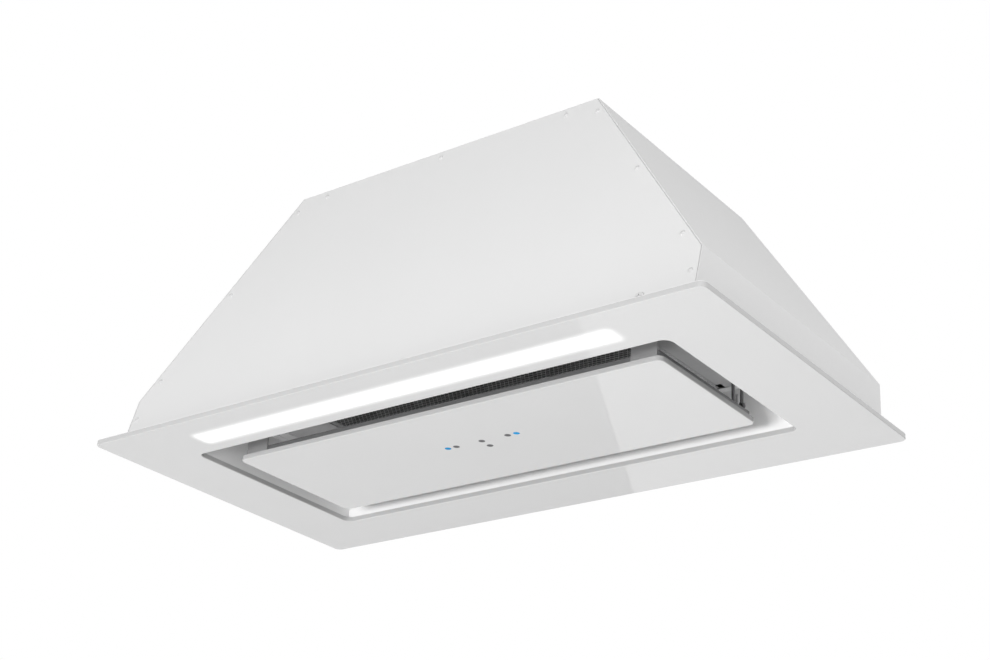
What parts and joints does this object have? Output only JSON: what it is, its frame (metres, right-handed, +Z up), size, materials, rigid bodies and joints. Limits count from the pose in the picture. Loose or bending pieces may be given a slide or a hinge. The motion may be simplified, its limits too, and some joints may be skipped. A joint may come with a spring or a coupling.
{
  "type": "built-in range hood",
  "caption": "Built-in extractor hood: white glass frame with a hinged suction panel, light strip, grease filter, blower in a tapered housing and a round outlet with flaps.",
  "frame": {"origin": "centre of the glass frame's underside", "axes": "+X to the right seen from the room, +Y to the wall behind, +Z up"},
  "size_m": [0.88, 0.465, 0.391],
  "materials": {
    "white_glass": "white back-painted glass, polished",
    "white_paint": "white powder coat, satin",
    "zinc_steel": "zinc-coated sheet",
    "rivet_metal": "white painted aluminium rivets",
    "screw_steel": "white painted screw heads",
    "spring_steel": "bright spring steel",
    "dark_steel": "blackened steel",
    "black_plastic": "matt moulded plastic",
    "grey_plastic": "matt moulded plastic",
    "nylon": "natural nylon",
    "magnet": "nickel plated",
    "diffuser": "opal acrylic",
    "aluminium": "satin",
    "circuit_board": "green lacquered laminate",
    "light_chip": "phosphor resin",
    "motor_metal": "satin sheet and cast end bells",
    "blue_lens": "clear blue moulding",
    "grey_lens": "smoked clear moulding",
    "seal_foam": "closed-cell foam strip",
    "mesh_metal": "expanded aluminium layers"
  },
  "bodies": {
    "housing": {"glass_frame": "white_glass", "base_plate": "white_paint", "cabinet_seal": "seal_foam", "front_panel": "white_paint", "rear_panel": "white_paint", "right_side_panel": "white_paint", "left_side_panel": "white_paint", "top_panel": "white_paint", "top_angles": "zinc_steel", "panel_rivets": "rivet_metal", "panel_screws": "screw_steel", "recess_long_walls": "white_paint", "recess_short_walls": "white_paint", "filter_shelf": "zinc_steel", "shelf_rails": "white_paint", "filter_springs": "spring_steel", "hinge_hangers": "dark_steel", "magnet_cases": "black_plastic", "catch_magnets": "magnet", "light_diffuser": "diffuser", "light_channel": "aluminium", "light_board": "circuit_board", "light_chips": "light_chip", "light_driver": "black_plastic", "scroll_band": "zinc_steel", "scroll_sides": "zinc_steel", "inlet_bells": "zinc_steel", "outlet_flange": "zinc_steel", "motor": "motor_metal", "motor_spider": "zinc_steel", "outlet_spigot": "black_plastic", "spigot_screws": "screw_steel", "damper_axle": "spring_steel", "control_box": "grey_plastic", "control_cover": "grey_plastic", "control_board": "circuit_board", "board_rests": "nylon", "capacitor": "grey_plastic", "cable_gland": "black_plastic", "gland_nut": "black_plastic"},
    "panel": {"panel_glass": "white_glass", "panel_tray": "zinc_steel", "signal_lenses": "blue_lens", "sensor_lenses": "grey_lens", "board_posts": "nylon", "sensor_board": "circuit_board", "sensor_cover": "black_plastic", "hinge_lugs": "zinc_steel", "hinge_pins": "dark_steel", "catch_brackets": "zinc_steel"},
    "filter": {"filter_frame": "aluminium", "filter_mesh": "mesh_metal", "filter_pad": "mesh_metal", "filter_retainers": "aluminium"},
    "blower_wheel": {"impeller": "black_plastic", "impeller_hub": "aluminium", "impeller_shaft": "spring_steel"},
    "flap_front": {"front_flap": "black_plastic"},
    "flap_rear": {"rear_flap": "black_plastic"}
  },
  "joints": [
    {"name": "panel_hinge", "type": "hinge", "parent": "housing", "child": "panel", "pos_m": [0, 0.098, 0.024], "axis": [1, 0, 0], "range_deg": [0, 90]},
    {"name": "filter_drop", "type": "slide", "parent": "housing", "child": "filter", "axis": [0, 0, -1], "range_m": [0, 0.038]},
    {"name": "blower_spin", "type": "hinge", "parent": "housing", "child": "blower_wheel", "pos_m": [0, -0.015, 0.222], "axis": [1, 0, 0], "continuous": true},
    {"name": "flap_front_swing", "type": "hinge", "parent": "housing", "child": "flap_front", "pos_m": [0, 0.066, 0.362], "axis": [-1, 0, 0], "range_deg": [0, 80]},
    {"name": "flap_rear_swing", "type": "hinge", "parent": "housing", "child": "flap_rear", "pos_m": [0, 0.066, 0.362], "axis": [1, 0, 0], "range_deg": [0, 80]}
  ]
}
